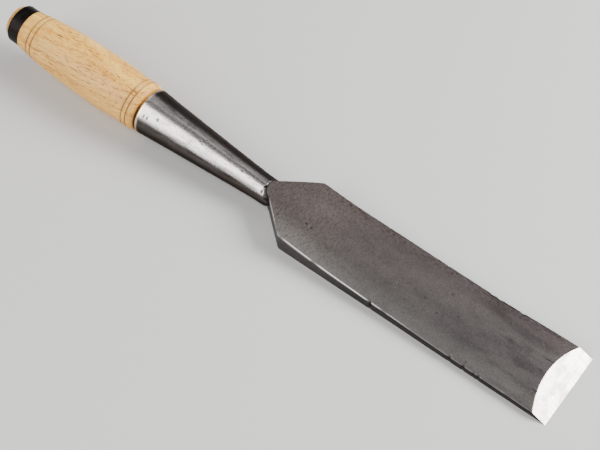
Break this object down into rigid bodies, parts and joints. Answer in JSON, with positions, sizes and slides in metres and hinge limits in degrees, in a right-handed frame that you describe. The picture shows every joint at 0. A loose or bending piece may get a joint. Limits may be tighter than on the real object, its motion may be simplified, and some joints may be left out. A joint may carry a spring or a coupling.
{
  "type": "socket framing chisel",
  "caption": "Wide socket framing chisel: crowned forged blade with a single bevel, conical socket and a turned wood handle hooped at its struck end.",
  "frame": {"origin": "middle of the cutting edge, on the flat back of the blade", "axes": "+X along the blade, out of the cutting edge; +Z out of the crowned front, away from the flat back; +Y to the left of the blade seen from the handle"},
  "size_m": [0.4178, 0.0508, 0.0379],
  "materials": {
    "blade_iron": "ground forged iron with a grey-brown patina",
    "edge_steel": "bright, freshly ground",
    "socket_iron": "polished forged iron with dark streaks",
    "handle_wood": "pale open-grained wood, waxed",
    "hoop_iron": "blackened iron, satin"
  },
  "bodies": {
    "iron": {"blade": "blade_iron", "edge_steel": "edge_steel", "socket": "socket_iron"},
    "handle": {"handle": "handle_wood", "hoop": "hoop_iron"}
  },
  "joints": [
    {"name": "handle_pull", "type": "slide", "parent": "iron", "child": "handle", "axis": [-0.9977, 0, 0.068], "range_m": [0, 0.085]}
  ]
}
